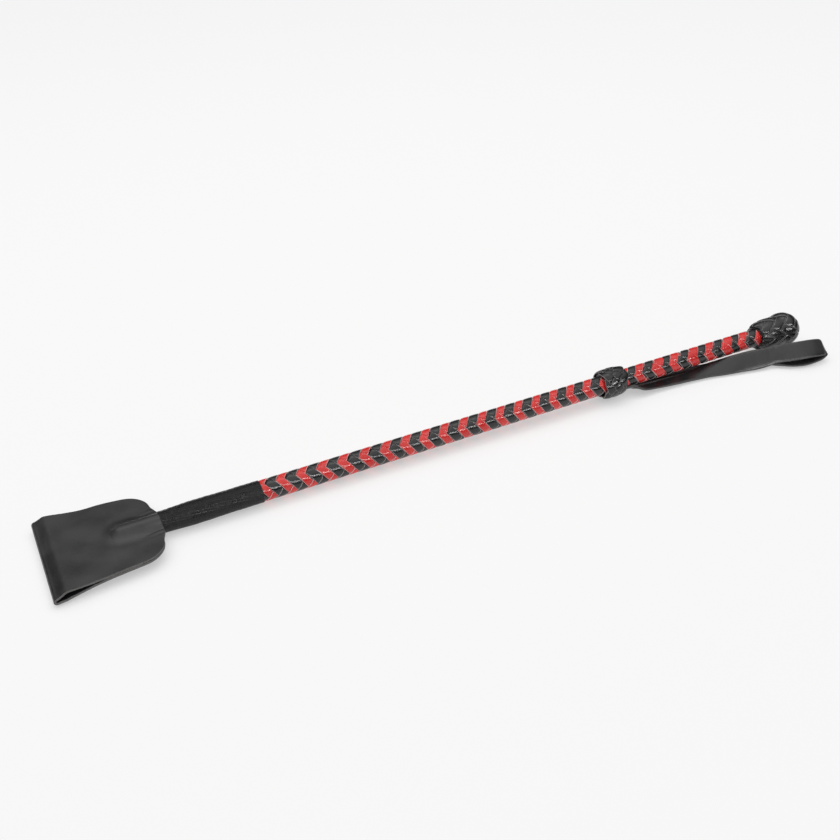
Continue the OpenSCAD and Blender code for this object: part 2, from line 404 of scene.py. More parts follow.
RED_LACE = leather_finish(
    "red_lace", colour(0.60, 0.012, 0.011), colour(0.90, 0.040, 0.034),
    colour(0.92, 0.56, 0.56), 1400.0, (0.14, 0.28), 0.00003, 0.5,
)
BLACK_LACE = leather_finish(
    "black_lace", colour(0.005, 0.005, 0.006), colour(0.018, 0.019, 0.020),
    colour(0.42, 0.39, 0.38), 1400.0, (0.12, 0.26), 0.00003, 0.5,
)
KNOT_LEATHER = leather_finish(
    "knot_leather", colour(0.005, 0.005, 0.006), colour(0.016, 0.016, 0.017),
    colour(0.22, 0.21, 0.21), 1400.0, (0.12, 0.26), 0.00004, 0.5,
)
FLAP_LEATHER = leather_finish(
    "flap_leather", colour(0.012, 0.012, 0.013), colour(0.030, 0.030, 0.031),
    colour(0.13, 0.125, 0.12), 1500.0, (0.32, 0.46), 0.00004, 0.15,
)
STRAP_LEATHER = leather_finish(
    "strap_leather", colour(0.012, 0.012, 0.013), colour(0.026, 0.026, 0.028),
    colour(0.08, 0.078, 0.076), 1500.0, (0.26, 0.4), 0.00004, 0.2,
)


def make_thread_finish():
    """Black waxed thread: twisted plies, with specks of wax that catch the light."""
    material, tree, shader = start_finish("whipping_thread", IOR=1.5)
    lay = add_node(tree, "Attribute", attribute_name="lay").outputs["Vector"]
    plies = add_node(
        tree, "TexWave", {"Vector": lay, "Scale": 520.0, "Distortion": 0.6},
        wave_type="BANDS", bands_direction="DIAGONAL",
    )
    grain = put_group(tree, HIDE_GRAIN, {"Pores": 2200.0, "Patches": 240.0})
    tone = mixed_colour(
        tree, grain["Patch"], colour(0.003, 0.003, 0.004), colour(0.010, 0.010, 0.011)
    )
    rough = mixed_value(tree, grain["Patch"], 0.22, 0.5)
    finish_surface(tree, shader, tone, rough, plies.outputs["Fac"], 0.00008)
    return material


def make_binding_finish():
    """The same thread on the small bindings, its turns drawn along the crop."""
    material, tree, shader = start_finish("binding_thread", IOR=1.5)
    place = add_node(tree, "TexCoord").outputs["Object"]
    turns = add_node(
        tree, "TexWave", {"Vector": place, "Scale": 600.0, "Distortion": 0.3},
        wave_type="BANDS", bands_direction="X",
    )
    tone = mixed_colour(
        tree, turns.outputs["Fac"], colour(0.005, 0.005, 0.005), colour(0.025, 0.025, 0.027)
    )
    rough = mixed_value(tree, turns.outputs["Fac"], 0.7, 0.45)
    finish_surface(tree, shader, tone, rough, turns.outputs["Fac"], 0.0002)
    return material


def make_rod_finish():
    """A glass-fibre rod, its fibres drawn along it."""
    material, tree, shader = start_finish("glass_fibre_rod", IOR=1.52)
    place = add_node(tree, "TexCoord").outputs["Object"]
    fibres = add_node(
        tree, "TexNoise",
        {"Vector": scaled_place(tree, place, (30.0, 1800.0, 1800.0)), "Detail": 4.0},
    )
    tone = mixed_colour(
        tree, fibres.outputs["Fac"], colour(0.30, 0.28, 0.22), colour(0.5, 0.47, 0.38)
    )
    rough = mixed_value(tree, fibres.outputs["Fac"], 0.45, 0.65)
    finish_surface(tree, shader, tone, rough, fibres.outputs["Fac"], 0.00005)
    return material


def make_wood_finish():
    """Turned beech: short dark flecks in a pale ground, with faint tool marks."""
    material, tree, shader = start_finish("pommel_wood", IOR=1.5)
    place = add_node(tree, "TexCoord").outputs["Object"]
    grain = add_node(
        tree, "TexNoise",
        {"Vector": scaled_place(tree, place, (60.0, 700.0, 700.0)), "Detail": 6.0},
    )
    marks = add_node(
        tree, "TexWave", {"Vector": place, "Scale": 900.0, "Distortion": 0.5},
        wave_type="BANDS", bands_direction="X",
    )
    tone = mixed_colour(
        tree, grain.outputs["Fac"], colour(0.38, 0.22, 0.11), colour(0.66, 0.46, 0.27)
    )
    rough = mixed_value(tree, grain.outputs["Fac"], 0.55, 0.75)
    height = arithmetic(tree, "ADD", grain.outputs["Fac"], marks.outputs["Fac"])
    finish_surface(tree, shader, tone, rough, height, 0.00008)
    return material


def make_nail_finish():
    """Plain drawn steel, finely scratched."""
    material, tree, shader = start_finish("steel_nail", Metallic=1.0)
    place = add_node(tree, "TexCoord").outputs["Object"]
    scratches = add_node(
        tree, "TexNoise",
        {"Vector": scaled_place(tree, place, (90.0, 2500.0, 2500.0)), "Detail": 3.0},
    )
    tone = mixed_colour(
        tree, scratches.outputs["Fac"], colour(0.42, 0.42, 0.43), colour(0.66, 0.66, 0.67)
    )
    rough = mixed_value(tree, scratches.outputs["Fac"], 0.22, 0.42)
    finish_surface(tree, shader, tone, rough, scratches.outputs["Fac"], 0.00003)
    return material


THREAD = make_thread_finish()
BINDING = make_binding_finish()


# ---- the braid ----

BRAID_FROM = 104.0
BRAID_TO = 478.0
STRANDS = 4                       # laces that wind each way
LACE_T = 0.9
UNDER_R = 4.5                     # middle of a lace that passes under
OVER_R = 5.5                      # middle of a lace that passes over
# The lay of the braid: distance, turns of a lace so far, and the angle of its front seam
LAY = [
    (95, -1.40, 112), (125, -0.125, 111), (150, 0.93, 119), (187, 2.36, 129),
    (225, 3.875, 142), (290, 6.42, 143), (340, 8.385, 141), (367, 9.385, 146),
    (420, 11.25, 148), (470, 13.0, 156), (490, 13.7, 158),
]
HANDLE_FROM = 350.0               # past the ring knot the laces are wider
LACE_SPACING = 5.1                # across from the middle of a lace to the next
LACE_RUN = 1.7                    # length of a lace for each millimetre along the crop
LACE_CROWN = 0.12                 # a lace is this much thicker in its middle
LACE_PUFF = 0.1                   # a floating lace stands this much higher
BOUND_IN = 0.24                   # the whipping draws the laces in by this
WANDER = 0.035                    # slow drift of a lace to its sides, in lace spacings
FINE_WANDER = 0.02
BRAID_STEPS = 14                  # rings of a lace for each lace that it crosses


class Weave:
    """Laces that wind both ways round the axis, each over two and under two."""

    def __init__(self, strands, distances, turns, seams):
        self.strands = strands
        self.distances = distances
        self.turns = turns
        self.seams = seams

    def lace(self, hand, number, start, end, steps, width, offset):
        """Distances and angles of one lace's rings, how far each ring is from the middle of
        a float, and its distance along. Width and offset are in lace spacings."""
        low, high = np.interp([start, end], self.distances, self.turns)
        span = 2 * self.strands
        first = hand * number + span * low if hand > 0 else number - span * high
        rows = int((high - low) * span * steps)
        run = first + (high - low) * span * np.arange(rows + 1) / rows
        middle_turns = hand * (run - number) / span
        middle_d = np.interp(middle_turns, self.turns, self.distances)
        half = width(middle_d) / 2
        side = number + offset(middle_d, run)
        side = side[:, None] + LACE_SECTION[None, :, 0] * half[:, None]
        lace_turns = hand * (run[:, None] - side) / span
        d = np.interp(lace_turns, self.turns, self.distances)
        seam = np.radians(np.interp(d, self.distances, self.seams))
        angle = seam + math.pi / self.strands * (run[:, None] + side)
        floats = 0.5 - number if hand > 0 else 2.5 - number
        away = np.abs((run - floats + 2) % 4 - 2)
        return d, angle, away, middle_d


def lace_lift(away, soft):
    """1 where a lace floats over its two neighbours and 0 where it passes under two."""
    return ease(1 + soft, 1 - soft, away)


def braid_width(is_red, number):
    """Widths of a lace along the braid, in lace spacings."""
    on_shaft = 0.88 if is_red else 1.06
    on_handle = (1.12 if number == 0 else 0.94) if is_red else 0.92
    return lambda d: on_shaft + (on_handle - on_shaft) * ease(
        HANDLE_FROM - 10, HANDLE_FROM + 10, d
    )


def braid_offset(hand, number, is_red):
    """A lace's wander from its even place; on the handle alternate red laces sit apart."""
    apart = (0.11 if number == 0 else -0.11) * hand if is_red else 0.0

    def offset(d, run):
        wander = WANDER * np.sin(0.41 * run + 1.9 * number + hand)
        wander = wander + FINE_WANDER * np.sin(1.13 * run + 2.7 * number)
        return wander - apart * ease(HANDLE_FROM, HANDLE_FROM + 20, d)

    return offset


def make_braid():
    """Eight laces over the rod, four wound each way, red and black by turns."""
    distances = np.linspace(LAY[0][0], LAY[-1][0], 4000)
    stations = [s[0] for s in LAY]
    turns = flowing(distances, stations, [s[1] for s in LAY])
    seams = flowing(distances, stations, [s[2] for s in LAY])
    weave = Weave(STRANDS, distances, turns, seams)
    for hand, side_name, node in ((1, "right", "right_hand_laces"), (-1, "left", "left_hand_laces")):
        for number in range(STRANDS):
            is_red = number % 2 == 0
            width = braid_width(is_red, number)
            d, angle, away, middle_d = weave.lace(
                hand, number, BRAID_FROM, BRAID_TO, BRAID_STEPS, width,
                braid_offset(hand, number, is_red),
            )
            lift = lace_lift(away, 0.2)
            puff = LACE_PUFF * np.clip(1 - away * away, 0, 1)
            puff = puff * ease(WHIP_END, WHIP_END + 3, middle_d)
            bound = BOUND_IN * ease(WHIP_END + 2.5, WHIP_END - 1.5, middle_d)
            radius = UNDER_R + (OVER_R - UNDER_R) * lift + puff - bound
            crown = LACE_CROWN * (1 - LACE_SECTION[:, 0] ** 2) * (LACE_SECTION[:, 1] > 0)
            through = LACE_SECTION[:, 1] * LACE_T / 2
            points = around(d, radius[:, None] + through + crown * lift[:, None] * 0.8, angle)
            lace_width = LACE_SPACING * width(middle_d)
            tint = "red" if is_red else "black"
            piece = lace_piece(
                f"{side_name}_{tint}_lace_{number // 2 + 1}", points, middle_d * LACE_RUN,
                lace_width, RED_LACE if is_red else BLACK_LACE,
            )
            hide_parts(node)
            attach(piece, "root")


# ---- whipping ----

THREAD_R = 0.27
THREAD_PITCH = 0.53
WHIP_R = 6.34                     # middle of the thread
WHIP_FROM = FLAP_L - 0.6
THREAD_SIDES = 6
THREAD_STEPS = 40                 # rings of the thread for each turn
TONGUE_OUTER_R = 6.1
TONGUE_ON_BRAID_R = 6.02          # inside of the tongue where it lies on the braid's end
TONGUE_ON_ROD_R = 5.46            # inside of the tongue before the braid
TONGUE_STEP_AT = 102.0
TONGUE_INSET = 0.4                # the tongue ends this far inside the whipping


def whip_bulge(d):
    """Change of radius along the whipping, slim at the flap and fullest on the tongue."""
    low = -0.5 * ease(78.0, FLAP_L, d) - 0.2 * ease(84.0, 96.0, d)
    return low + 0.05 * np.sin(d * 0.55) * np.sin(d * 0.13 + 1) + 0.02 * np.sin(d * 1.9)


def make_whipping():
    """One thread wound close on the flap's tongue and the start of the braid."""
    turns = (WHIP_END - WHIP_FROM) / THREAD_PITCH
    t = np.linspace(0, turns, int(turns * THREAD_STEPS))
    d = WHIP_FROM + THREAD_R + t * (WHIP_END - WHIP_FROM - 2 * THREAD_R) / turns
    slack = 0.05 * np.sin(t * 0.31) * np.sin(t * 2.7)
    section = np.linspace(0, 2 * math.pi, THREAD_SIDES + 1)[:-1]
    radius = WHIP_R + whip_bulge(d) + 0.02 * np.sin(t * 5.3)
    rings = around(
        d[:, None] + slack[:, None] + THREAD_R * np.cos(section),
        radius[:, None] + THREAD_R * np.sin(section),
        (2 * math.pi * t)[:, None] + 0 * section,
    )
    lay = np.zeros((len(t), len(section), 3))
    lay[..., 0] = (t * 2 * math.pi * WHIP_R)[:, None]
    lay[..., 1] = section * THREAD_R
    thread = make_piece(
        "whipping_thread", rings, tube_faces(len(t), len(section), False), THREAD,
        np.zeros((len(t), len(section))), lay,
    )
    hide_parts("tip_whipping")
    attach(thread, "root")


def make_whipping_bed():
    """The leather tongue of the flap, laid along the rod under the whipping."""
    first = WHIP_FROM + TONGUE_INSET
    last = WHIP_END - TONGUE_INSET
    outer = [(d, TONGUE_OUTER_R + whip_bulge(d)) for d in np.linspace(first, last, 90)]
    inner = [
        (last, TONGUE_ON_BRAID_R), (TONGUE_STEP_AT, TONGUE_ON_BRAID_R),
        (TONGUE_STEP_AT - 0.5, TONGUE_ON_ROD_R), (first, TONGUE_ON_ROD_R),
    ]
    tongue = turned_piece("flap_tongue", outer + inner, 72, FLAP_LEATHER)
    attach(tongue, "root")


# ---- flap ----

FOLD_R = 1.25                     # middle of the leather round the fold
OPEN_HALF = 2.45                  # half the distance between the leaves at their ridge
RIDGE_AT = 6.5                    # the top leaf slopes down to the fold from here
LEAF_HALF_T = LEATHER_T / 2
FOLD_CENTRE = FOLD_R + LEAF_HALF_T
FLAP_HALF_W = 32.3
FLAP_TAPER = 0.1
CORNER_R = 12.0
CORNER_AT = 47.6
END_BOW = 1.4
SHOULDER_RISE = 0.9               # the end edge runs out again beside the whipping
NECK_HALF_W = 7.5
TOUCHING = 0.72                   # half the distance between leaves that lie together
PARTING = 22.0                    # the leaves part between here and the fold
DRAPE_R = 4.74                    # middle of the leather over the rod
DRAPE_HOLD = 3.0                  # the leather follows the rod this far to each side
DRAPE_REACH = 11.5                # and lies flat this far out from the rod's middle
NECK_DRAWN_IN = 5.1               # and this much less far out at the whipping
NECK_FROM = 46.0                  # the leather is drawn in from here on
DROOP = math.radians(2.32)
TUCK = 3.0                        # the leather runs on this far under the whipping
SEATED = 1.1                      # the leather lies this much further out along the rod
WAVE = 0.5                        # height of the leather's gentle unevenness
WRINKLE = 0.22                    # height of the pleats at the whipping
CREASE = 0.12                     # depth of the worn line where the flap flexes
EDGE_OUT = 0.18                   # a cut edge is rounded by this


def flap_half(d):
    """Half the flap's width at a distance from the fold."""
    return FLAP_HALF_W - FLAP_TAPER * d


def flap_end(share):
    """Distance of the flap's rod end for each share of the half width."""
    y = np.abs(share) * flap_half(CORNER_AT)
    corner_y = flap_half(CORNER_AT) - CORNER_R
    bow = END_BOW * ease(NECK_HALF_W, corner_y, y) - SHOULDER_RISE * ease(17.0, 8.0, y)
    round_off = np.sqrt(np.clip(CORNER_R**2 - np.clip(y - corner_y, 0, CORNER_R) ** 2, 0, None))
    straight = FLAP_L - bow - CORNER_R
    return straight + round_off + TUCK * ease(5.6, 4.4, y)


def drape(d, y):
    """Height of the leather's middle above the rod's axis, over and beside the rod."""
    off = np.sqrt(y**2 + np.clip(TIP_BALL_AT - d, 0, None) ** 2)
    reach = DRAPE_REACH - NECK_DRAWN_IN * ease(NECK_FROM, FLAP_L, d)
    top = np.sqrt(np.clip(DRAPE_R**2 - off**2, 0.01, None))
    edge_h = math.sqrt(DRAPE_R**2 - DRAPE_HOLD**2)
    slope = -DRAPE_HOLD / edge_h
    u = np.clip((off - DRAPE_HOLD) / (reach - DRAPE_HOLD), 0, 1)
    span = reach - DRAPE_HOLD
    fall = (1 + 2 * u) * (1 - u) ** 2 * edge_h + u * (1 - u) ** 2 * span * slope
    fall = fall + u * u * (3 - 2 * u) * TOUCHING
    return np.where(off < DRAPE_HOLD, top, fall)


def leaf_height(d, y):
    """Half the distance between the middles of the two leaves."""
    beyond = np.clip(d - RIDGE_AT, 0, None)
    part = (OPEN_HALF - TOUCHING) * np.clip(1 - beyond / PARTING, 0, 1) ** 1.5
    return drape(d, y) + part


def ridge_drop(d):
    """How far the top leaf comes down between its ridge and the fold."""
    return 2 * (OPEN_HALF - FOLD_R) * ease(RIDGE_AT + 1.5, FOLD_CENTRE - 0.8, d)


def flap_wave(d, y):
    """The gentle unevenness that both leaves share."""
    beside = 1 - np.exp(-((y / 9.0) ** 2) - (np.clip(TIP_BALL_AT - d, 0, None) / 9.0) ** 2)
    free = ease(2.0, 14.0, d)
    lifted_corner = WAVE * ease(17.0, 30.0, y) * ease(15.0, 2.0, d)
    return WAVE * ripple(d / 17.0, y / 15.0, 3.1) * beside * free + lifted_corner


def neck_wrinkles(d, y):
    """Small pleats where the leather is drawn in towards the whipping."""
    strength = ease(51.0, 60.0, d) * np.exp(-((np.abs(y) - 7.0) / 4.0) ** 2)
    return WRINKLE * strength * np.sin(y * 1.9 + 0.6 * np.sin(d * 0.5))


def bent_down(d, h):
    """The free part of the flap droops about its flexing line."""
    bend = DROOP * ease(FLEX_AT + 4, FLEX_AT - 6, d)
    off = d - FLEX_AT
    return FLEX_AT + off * np.cos(bend) - h * np.sin(-bend), h * np.cos(bend) + off * np.sin(bend)


def flap_middle():
    """The middle of the folded leather as a grid, with each point's place on the flat cut."""
    columns = np.sin(np.linspace(-math.pi / 2, math.pi / 2, 131))
    leaf = 1 - (1 - np.linspace(0, 1, 116)) ** 1.25
    share = np.broadcast_to(columns, (len(leaf), len(columns)))
    d = FOLD_CENTRE + (flap_end(share) - FOLD_CENTRE) * leaf[:, None]
    y = share * flap_half(d)
    half = leaf_height(d, y)
    crease = CREASE * np.exp(-(((d - FLEX_AT - 1.5 - 0.03 * y) / 0.8) ** 2))
    crease = crease * ease(28.0, 18.0, np.abs(y))
    shared = flap_wave(d, y)
    top_h = half - ridge_drop(d) + shared + neck_wrinkles(d, y) - crease
    low_h = -half + shared * (0.6 + 0.4 * ease(6.0, 18.0, d))
    turn = np.linspace(0, math.pi, 17)[1:-1][:, None]
    fold_r = (top_h[0] - low_h[0]) / 2
    fold_d = FOLD_CENTRE - FOLD_R * np.sin(turn) + 0 * y[0]
    fold_y = np.broadcast_to(y[0], fold_d.shape)
    fold_h = fold_r * np.cos(turn) + (top_h[0] + low_h[0]) / 2
    all_d = np.concatenate([d[::-1], fold_d, d])
    all_y = np.concatenate([y[::-1], fold_y, y])
    all_h = np.concatenate([top_h[::-1], fold_h, low_h])
    bent_d, bent_h = bent_down(all_d, all_h)
    flat = np.concatenate([d[::-1], fold_d * 0 + FOLD_CENTRE, -d])
    middle = np.stack([bent_d - SEATED, all_y, bent_h], -1)
    return middle, np.stack([flat, all_y, 0 * flat], -1)


def leather_solid(name, middle, flat, half_t, material):
    """A closed piece of leather from its middle surface, with slightly rounded cut edges."""
    rows, cols = middle.shape[:2]
    down = np.gradient(middle, axis=0)
    side = np.gradient(middle, axis=1)
    normal = unit(np.cross(down, side))
    outer = middle + normal * half_t
    inner = middle - normal * half_t
    index = np.arange(rows * cols).reshape(rows, cols)
    rim = np.concatenate(
        [index[0, :-1], index[:-1, -1], index[-1, :0:-1], index[:0:-1, 0]]
    )
    out = np.concatenate(
        [
            -unit(down[0, :-1]), unit(side[:-1, -1]), unit(down[-1, :0:-1]),
            -unit(side[:0:-1, 0]),
        ]
    )
    edge = middle.reshape(-1, 3)[rim] + out * EDGE_OUT
    points = np.concatenate([outer.reshape(-1, 3), inner.reshape(-1, 3), edge])
    n = rows * cols
    a, b, c, e = index[:-1, :-1], index[:-1, 1:], index[1:, 1:], index[1:, :-1]
    skin = np.stack([a, b, c, e], -1).reshape(-1, 4)
    faces = np.concatenate([skin, skin[:, ::-1] + n])
    k = np.arange(len(rim))
    following = (k + 1) % len(rim)
    upper = np.stack([rim, rim[following], 2 * n + following, 2 * n + k], -1)
    lower = np.stack([2 * n + k, 2 * n + following, rim[following] + n, rim + n], -1)
    faces = np.concatenate([faces, upper, lower])
    raw = np.concatenate([np.zeros(2 * n), np.ones(len(rim))])
    flat = flat.reshape(-1, 3)
    lay = np.concatenate([flat, flat + (0, 0, 1.0), flat[rim] + (0, 0, 0.5)])
    world = on_axis(points[:, 0], points[:, 1], points[:, 2])
    return make_piece(name, world, faces.tolist(), material, raw, lay)


def make_flap():
    """The folded leather, held by the rod; past the rod's tip it droops a little about its flexing
    line.
    """
    middle, flat = flap_middle()
    flap = leather_solid("flap", middle, flat, LEAF_HALF_T, FLAP_LEATHER)
    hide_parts("flap_root", "flap_blade")
    root_side = on_axis(FLEX_AT + 4.0, 0, 0)
    blade_side = on_axis(FLEX_AT - 4.0, 0, 0)
    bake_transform(flap)


# ---- ring knot ----

RING_LEADS = 5
RING_BIGHTS = 6
KNOT_LACE_T = 0.85
RING_LACE_W = 5.3
RING_SLANT = 0.3                  # the ring reaches further towards the pommel on top
RING_EDGE_R = 7.9                 # outer radius at the ring's ends
RING_STEPS = 1500
KNOT_CROWN = 0.16                 # the ring's lace is this much thicker in its middle


def ring_radius(x):
    """Outer radius of the ring knot at a distance from its middle."""
    round_off = np.sqrt(np.clip(1 - (x / (RING_HALF_L + 0.6)) ** 2, 0, 1))
    return RING_EDGE_R + (RING_R - RING_EDGE_R) * round_off


def strand_levels(t, leads, bights):
    """1 where a looped strand passes over itself and -1 where it passes under, by turns."""
    times = [
        (math.pi * leads * m / bights - math.pi * k) % (2 * math.pi * leads)
        for m in range(2 * bights)
        for k in range(1, leads)
    ]
    times = np.unique(np.round(times, 6))
    levels = np.where(np.arange(len(times)) % 2 == 0, 1.0, -1.0)
    period = 2 * math.pi * leads
    times = np.concatenate([times[-1:] - period, times, times[:1] + period])
    levels = np.concatenate([levels[-1:], levels, levels[:1]])
    k = np.clip(np.searchsorted(times, t) - 1, 0, len(times) - 2)
    u = (t - times[k]) / (times[k + 1] - times[k])
    return levels[k] + (levels[k + 1] - levels[k]) * ease(0.22, 0.78, u)


def make_ring_knot():
    """A woven ring over the ends of the strap, one lace passing over and under itself."""
    t = np.arange(RING_STEPS) / RING_STEPS * 2 * math.pi * RING_LEADS
    wave = RING_BIGHTS / RING_LEADS
    reach = RING_HALF_L - RING_LACE_W / 2
    x = reach * np.cos(wave * t)
    mean_r = RING_R - 0.8
    run = unit(np.stack([-reach * wave * np.sin(wave * t), np.full(RING_STEPS, mean_r)], -1))
    level = strand_levels(t, RING_LEADS, RING_BIGHTS)
    half = RING_LACE_W / 2 * (1 + 0.05 * np.sin(3.1 * t))
    s = LACE_SECTION[None, :, 0] * half[:, None]
    off_x = x[:, None] + s * run[:, 1:2]
    off_turn = t[:, None] - s * run[:, 0:1] / mean_r
    sunk = KNOT_LACE_T * (0.5 + 0.47 * (1 - level))
    crown = KNOT_CROWN * (1 - LACE_SECTION[:, 0] ** 2) * (LACE_SECTION[:, 1] > 0)
    radius = ring_radius(off_x) - sunk[:, None] + LACE_SECTION[:, 1] * KNOT_LACE_T / 2 + crown
    on_top = np.clip(np.sin(off_turn), 0, 1)
    slanted_x = off_x * (1 + RING_SLANT * on_top * ease(-2.0, RING_HALF_L, off_x))
    points = around(RING_MID + slanted_x, radius, off_turn)
    knot = lace_piece(
        "ring_knot_lace", points, t * mean_r, 2 * half, KNOT_LEATHER, True
    )
    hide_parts("ring_knot")
    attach(knot, "root")


# ---- pommel ----

POMMEL_STRANDS = 8
BALL_MEET = 0.42                  # the neck's cone meets the ball this share of its radius back
NECK_SWELL = 1.4                  # the laces bulge this much over the neck's cone
POLE_R = 1.2                      # the laces meet this close to the end's middle
POMMEL_STEPS = 16                 # rings of a lace for each lace that it crosses
POMMEL_LACE_SHARE = 0.93          # width of a lace in lace spacings
POMMEL_CROWN = 0.14
TUCK_IN = 0.35                    # the laces turn in by this at the neck
POMMEL_SEAM = 146.0               # angle of the weave's front seam
WEAVE_STEEP = 0.8                 # turns are slower than the squares of the weave
LINING_DEPTH = 1.72               # the lining lies this far under the laces' outside
LINING_T = 0.1


def pommel_profile():
    """Distance and outer radius along the pommel's side, from its neck to its end."""
    cone_end = BALL_AT - BALL_MEET * POMMEL_R
    cone_r = POMMEL_R * math.sqrt(1 - BALL_MEET**2)
    cone_d = np.linspace(POMMEL_AT, cone_end, 60)
    share = (cone_d - POMMEL_AT) / (cone_end - POMMEL_AT)
    swell = NECK_SWELL * np.sin(math.pi * share**0.7)
    cone = POMMEL_NECK_R + (cone_r - POMMEL_NECK_R) * share
    angle = np.linspace(math.acos(BALL_MEET), math.pi - POLE_R / POMMEL_R, 90)[1:]
    ball_d = BALL_AT - POMMEL_R * np.cos(angle)
    return (
        np.concatenate([cone_d, ball_d]),
        np.concatenate([cone + swell, POMMEL_R * np.sin(angle)]),
    )


def make_pommel():
    """Sixteen laces woven over the wooden ball, drawn in to a point at its end."""
    side_d, side_r = pommel_profile()
    length = np.concatenate([[0], np.cumsum(np.hypot(np.diff(side_d), np.diff(side_r)))])
    rate = np.diff(length) / (2 * math.pi * (side_r[1:] + side_r[:-1]) / 2) * WEAVE_STEEP
    turns = np.concatenate([[0], np.cumsum(rate)])
    weave = Weave(POMMEL_STRANDS, length, turns, POMMEL_SEAM + 0 * length)
    tangent = unit(np.stack([np.gradient(side_d, length), np.gradient(side_r, length)], -1))
    for hand, side_name in ((1, "right"), (-1, "left")):
        for number in range(POMMEL_STRANDS):
            along, angle, away, middle = weave.lace(
                hand, number, 0, length[-1], POMMEL_STEPS,
                lambda d: POMMEL_LACE_SHARE + 0 * d, lambda d, run: 0 * run,
            )
            along = np.clip(along, 0, length[-1])
            lift = lace_lift(away, 0.28)
            r = np.interp(along, length, side_r)
            thin = np.clip(np.interp(middle, length, side_r) / 6.0, 0.25, 1)
            tuck = TUCK_IN * ease(1.2, 0.0, middle)
            sunk = KNOT_LACE_T * thin * (0.5 + 0.94 * (1 - lift)) + tuck
            crown = POMMEL_CROWN * (1 - LACE_SECTION[:, 0] ** 2) * (LACE_SECTION[:, 1] > 0)
            out = LACE_SECTION[:, 1] * KNOT_LACE_T / 2 * thin[:, None] + crown * thin[:, None]
            out = out - sunk[:, None]
            lean_d = -np.interp(along, length, tangent[:, 1])
            lean_r = np.interp(along, length, tangent[:, 0])
            d = np.interp(along, length, side_d) + out * lean_d
            points = around(d, np.clip(r + out * lean_r, 0.05, None), angle)
            piece = lace_piece(
                f"pommel_{side_name}_lace_{number + 1}", points, middle * 1.4,
                np.interp(middle, length, side_r) * 0.5, KNOT_LEATHER,
            )
            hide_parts("pommel_knot")
            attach(piece, "root")


def make_pommel_lining():
    """The leather that the laces are woven on, and the narrow band round its neck."""
    ball_r = POMMEL_R - LINING_DEPTH
    meet = math.acos(BALL_MEET)
    angle = np.linspace(meet, math.pi - 0.02, 60)
    outer = [(BALL_AT - ball_r * math.cos(a), ball_r * math.sin(a)) for a in angle]
    thin_r = ball_r - LINING_T
    inner = [(BALL_AT - thin_r * math.cos(a), thin_r * math.sin(a)) for a in angle[::-1]]
    lining = turned_piece("pommel_lining", outer + inner, 96, KNOT_LEATHER)
    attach(lining, "root")
    lip = [(0.15, 6.2), (0.15, 6.7), (0.5, 6.95), (0.95, 6.95), (0.95, 6.2)]
    band = [(POMMEL_AT + d, r) for d, r in lip]
    neck = turned_piece("pommel_neck_band", band, 96, KNOT_LEATHER)
    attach(neck, "root")


# ---- wrist strap ----

STRAP_T = 1.2
# Distance, place of the lower edge (across, height), tilt in degrees, width
STRAP = [
    (351, -7.0, 7.3, -45, 6.5), (361, -7.0, 7.45, -45, 6.5),
    (366.2, -7.2, 7.4, -42, 6.8), (369.5, -9.4, 5.4, -24, 6.9), (374, -10.3, 3.6, -8, 7.0),
    (387, -10.6, 2.1, 0, 7.3), (400, -11.2, 1.3, 4, 7.8), (412, -12, 0.9, 9, 8.8),
    (425, -13.4, 0.8, 17, 11), (437, -16, 0.8, 25, 12.3), (448, -18.2, 0.8, 36, 13),
    (460, -20.6, 0.9, 41, 13), (468, -21.7, 1.6, 41, 12.6), (474, -22.8, 2.9, 38, 12.2),
    (479, -25.6, 4.4, 34, 12.8), (485, -28.8, 5.6, 32, 13), (491, -30.6, 6.1, 32, 13),
    (498, -31.6, 6, 32, 13), (504, -31.7, 5.2, 33, 12.9), (508.1, -31.3, 4.4, 33, 12.5),
    (510.6, -30.7, 3.5, 33, 11.8), (511.4, -30.3, 2.6, 32, 11.4), (510.6, -30.3, 1.7, 31, 11.8),
    (508.1, -30.7, 1.0, 28, 12.4), (502, -31.4, 0.75, 20, 12.9), (493, -31.6, 0.75, 13, 13),
    (484, -28.6, 0.75, 15, 13), (478, -25, 0.8, 24, 12.6), (473, -21.4, 0.85, 33, 12.4),
    (468, -19.9, 0.85, 36, 12.4), (460, -18.1, 0.85, 35, 12.4), (448, -15.2, 0.8, 21, 12),
    (437, -11.4, 0.8, 4, 11), (425, -7.2, 0.8, 0, 9.4), (412, -2.4, 0.8, 0, 8.4),
    (400, -2.6, 1.3, 0, 7.8), (387, -2.5, 2.2, 0, 7.3), (374, -2.1, 2.4, 1, 7.0),
    (369.5, -1.8, 2.3, 3, 6.9), (366.2, -1.2, 2.3, 5, 6.8),
    (361, -1.05, 2.45, 16, 6.5), (351, -1.05, 2.4, 18, 6.5),
]
STRAP_STEPS = 10
CUP = 0.35                        # the strap's middle is hollow by this where it is wide
STRAP_WAVE = 0.12
LOOP_END = 511.0
LOOP_LEAN = 0.2                   # the loop's upper edge reaches further out than its lower one
# Creases where both legs are nipped together: place along, slant, depth, half width
CREASES = [(474.3, 1.6, 0.55, 1.0), (478.6, -1.1, 0.4, 1.3), (470.2, 2.2, 0.22, 1.2)]


def smoothed(values):
    """A smooth curve through evenly counted values, STRAP_STEPS points for each."""
    values = np.array(values, float)
    padded = np.concatenate([values[:1], values, values[-1:]])
    k = np.arange((len(values) - 1) * STRAP_STEPS + 1) / STRAP_STEPS
    i = np.minimum(k.astype(int), len(values) - 2)
    u = k - i
    if values.ndim > 1:
        u = u[:, None]
    a, b, c, e = (padded[i + n] for n in range(4))
    return 0.5 * (
        2 * b + (c - a) * u + (2 * a - 5 * b + 4 * c - e) * u**2 + (3 * b - a - 3 * c + e) * u**3
    )


